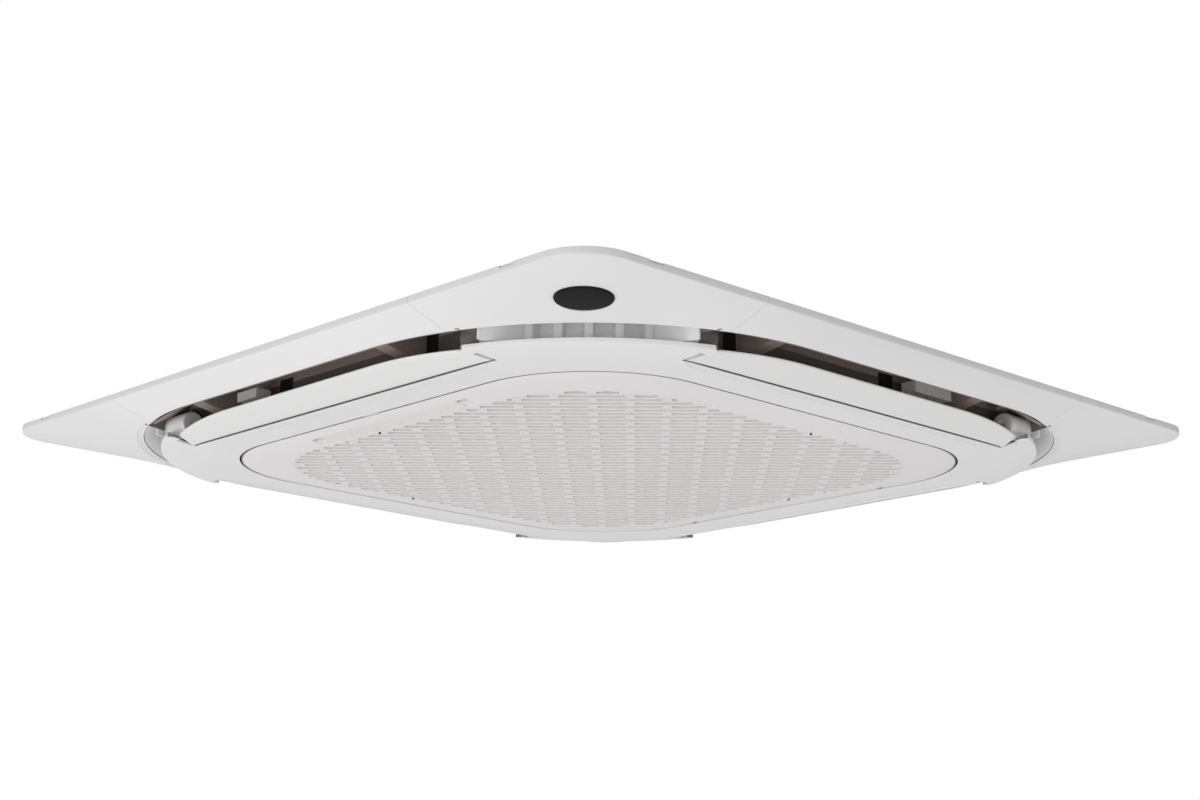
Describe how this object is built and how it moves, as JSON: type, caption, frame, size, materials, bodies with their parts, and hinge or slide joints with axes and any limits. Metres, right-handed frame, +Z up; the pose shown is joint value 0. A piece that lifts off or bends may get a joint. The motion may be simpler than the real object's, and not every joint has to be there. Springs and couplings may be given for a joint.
{
  "type": "ceiling cassette air conditioner",
  "caption": "Ceiling cassette air conditioner: square room-side panel with rounded air outlets, tilting vanes and a hinged slotted intake grille below a boxed fan-coil body.",
  "frame": {"origin": "centre of the panel on the ceiling's lower face, level with the top of the panel's rim", "axes": "+Z up into the ceiling; +X and +Y along the panel's sides, with the receiver at the corner of +X and -Y and the grille's hinge on the +Y side"},
  "size_m": [0.95, 0.95, 0.302],
  "materials": {
    "panel_white": "satin white",
    "vane_white": "satin white",
    "grille_white": "matt white",
    "gloss_black": "gloss",
    "foam_brown": "foam",
    "foam_white": "foam",
    "galvanised": "spangled zinc",
    "steel": "satin",
    "copper": "drawn copper",
    "brass": "satin",
    "fin_aluminium": "bare",
    "fan_plastic": "matt dark grey",
    "box_plastic": "matt grey",
    "board_green": "varnished board",
    "rubber_black": "matt",
    "filter_grey": "matt"
  },
  "bodies": {
    "unit": {"panel_frame": "panel_white", "centre_bezel": "panel_white", "corner_cover_southeast": "panel_white", "corner_cover_northeast": "panel_white", "corner_cover_northwest": "panel_white", "corner_cover_southwest": "panel_white", "outlet_insert": "foam_brown", "panel_screw_southeast": "steel", "panel_screw_northeast": "steel", "panel_screw_northwest": "steel", "panel_screw_southwest": "steel", "fan_motor": "steel", "hanger_bracket_southeast": "galvanised", "hanger_bracket_northeast": "galvanised", "hanger_bracket_northwest": "galvanised", "hanger_bracket_southwest": "galvanised", "casing_shell": "galvanised", "top_plate": "galvanised", "bell_mouth": "galvanised", "pipe_cover_plate": "galvanised", "pump_plate": "galvanised", "control_box": "galvanised", "control_box_cover": "galvanised", "receiver_window": "gloss_black", "receiver_board": "board_green", "control_board": "board_green", "vane_motor_south": "vane_white", "vane_motor_east": "vane_white", "vane_motor_north": "vane_white", "vane_motor_west": "vane_white", "insulation_liner": "foam_white", "drain_pan": "foam_white", "coil": "fin_aluminium", "gas_pipe": "copper", "liquid_pipe": "copper", "gas_flare_nut": "brass", "liquid_flare_nut": "brass", "motor_damper": "rubber_black", "cable_gland": "rubber_black", "terminal_block": "fan_plastic", "drain_pump": "box_plastic", "drain_outlet": "box_plastic"},
    "grille": {"intake_grille": "grille_white", "air_filter": "filter_grey", "grille_hinge_pin_left": "steel", "grille_hinge_pin_right": "steel"},
    "latch_left": {"grille_latch_left": "grille_white"},
    "latch_right": {"grille_latch_right": "grille_white"},
    "vane_south_body": {"vane_south": "vane_white"},
    "vane_east_body": {"vane_east": "vane_white"},
    "vane_north_body": {"vane_north": "vane_white"},
    "vane_west_body": {"vane_west": "vane_white"},
    "fan": {"motor_shaft": "steel", "fan_impeller": "fan_plastic", "fan_nut": "steel"},
    "pump_rotor": {"pump_impeller": "box_plastic"},
    "float": {"float_ring": "panel_white"}
  },
  "joints": [
    {"name": "grille_hinge", "type": "hinge", "parent": "unit", "child": "grille", "pos_m": [0, 0.303, -0.0384], "axis": [1, 0, 0], "range_deg": [0, 90]},
    {"name": "latch_left_slide", "type": "slide", "parent": "grille", "child": "latch_left", "axis": [0, -1, 0], "range_m": [0, 0.006]},
    {"name": "latch_right_slide", "type": "slide", "parent": "grille", "child": "latch_right", "axis": [0, -1, 0], "range_m": [0, 0.006]},
    {"name": "vane_south_hinge", "type": "hinge", "parent": "unit", "child": "vane_south_body", "pos_m": [0, -0.381, -0.0265], "axis": [1, 0, 0], "range_deg": [0, 40]},
    {"name": "vane_east_hinge", "type": "hinge", "parent": "unit", "child": "vane_east_body", "pos_m": [0.381, 0, -0.0265], "axis": [0, 1, 0], "range_deg": [0, 40]},
    {"name": "vane_north_hinge", "type": "hinge", "parent": "unit", "child": "vane_north_body", "pos_m": [0, 0.381, -0.0265], "axis": [-1, 0, 0], "range_deg": [0, 40]},
    {"name": "vane_west_hinge", "type": "hinge", "parent": "unit", "child": "vane_west_body", "pos_m": [-0.381, 0, -0.0265], "axis": [0, -1, 0], "range_deg": [0, 40]},
    {"name": "fan_spin", "type": "hinge", "parent": "unit", "child": "fan", "pos_m": [0, 0, 0.16], "axis": [0, 0, 1], "continuous": true},
    {"name": "pump_spin", "type": "hinge", "parent": "unit", "child": "pump_rotor", "pos_m": [-0.32456, -0.32456, 0.05], "axis": [0, 0, 1], "continuous": true},
    {"name": "float_slide", "type": "slide", "parent": "unit", "child": "float", "axis": [0, 0, 1], "range_m": [0, 0.012]}
  ]
}
